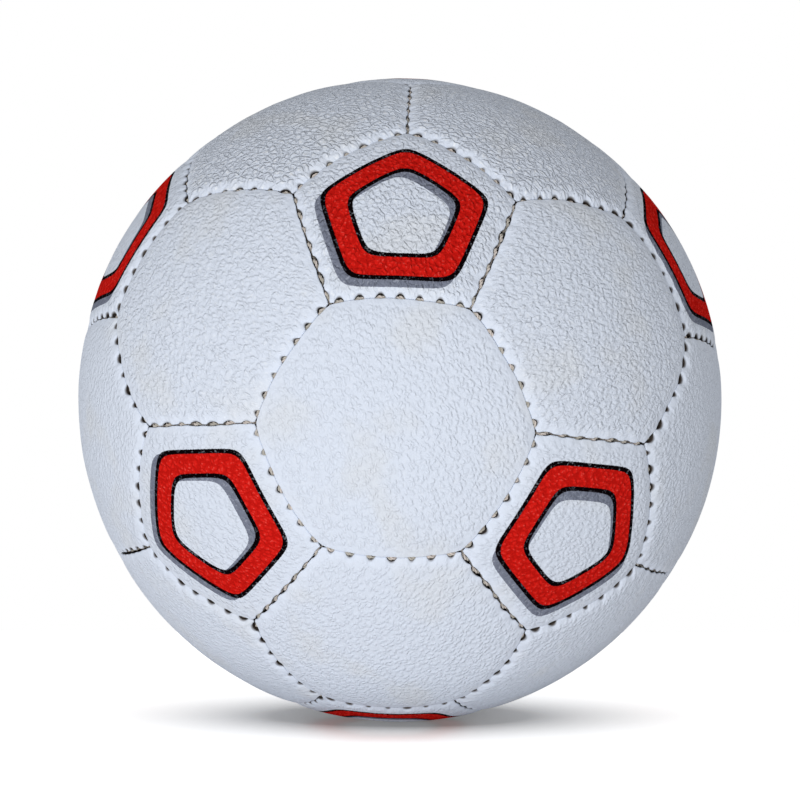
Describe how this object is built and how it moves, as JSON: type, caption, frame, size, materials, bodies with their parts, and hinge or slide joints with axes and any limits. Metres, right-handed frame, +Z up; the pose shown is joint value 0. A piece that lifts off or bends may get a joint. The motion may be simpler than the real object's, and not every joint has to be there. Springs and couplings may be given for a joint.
{
  "type": "handball",
  "caption": "Inflated handball: a cover of hexagonal and pentagonal panels, hand-stitched along every edge over a rubber bladder, with a needle valve at the back.",
  "frame": {"origin": "the ball's centre", "axes": "-Y towards the pictured front, through the middle of a hexagon with a pentagon above it; +Y through the valve; +Z up"},
  "size_m": [0.1872, 0.1876, 0.1878],
  "materials": {
    "cover": "pebbled synthetic leather, semi-gloss, bluish white",
    "thread": "beige waxed thread",
    "bladder": "matt black rubber",
    "valve": "moulded black rubber",
    "valve_core": "soft dark rubber"
  },
  "bodies": {
    "root": {"hexagon_panel_01": "cover", "hexagon_panel_02": "cover", "hexagon_panel_03": "cover", "hexagon_panel_04": "cover", "hexagon_panel_05": "cover", "hexagon_panel_06": "cover", "hexagon_panel_07": "cover", "hexagon_panel_08": "cover", "hexagon_panel_09": "cover", "hexagon_panel_10": "cover", "hexagon_panel_11": "cover", "hexagon_panel_12": "cover", "hexagon_panel_13": "cover", "hexagon_panel_14": "cover", "hexagon_panel_15": "cover", "hexagon_panel_16": "cover", "hexagon_panel_17": "cover", "hexagon_panel_18": "cover", "hexagon_panel_19": "cover", "valve_panel": "cover", "pentagon_panel_01": "cover", "pentagon_panel_02": "cover", "pentagon_panel_03": "cover", "pentagon_panel_04": "cover", "pentagon_panel_05": "cover", "pentagon_panel_06": "cover", "pentagon_panel_07": "cover", "pentagon_panel_08": "cover", "pentagon_panel_09": "cover", "pentagon_panel_10": "cover", "pentagon_panel_11": "cover", "pentagon_panel_12": "cover", "upper_half_thread": "thread", "lower_half_thread": "thread", "closing_thread": "thread", "bladder": "bladder", "valve_body": "valve", "valve_core": "valve_core"}
  },
  "joints": []
}
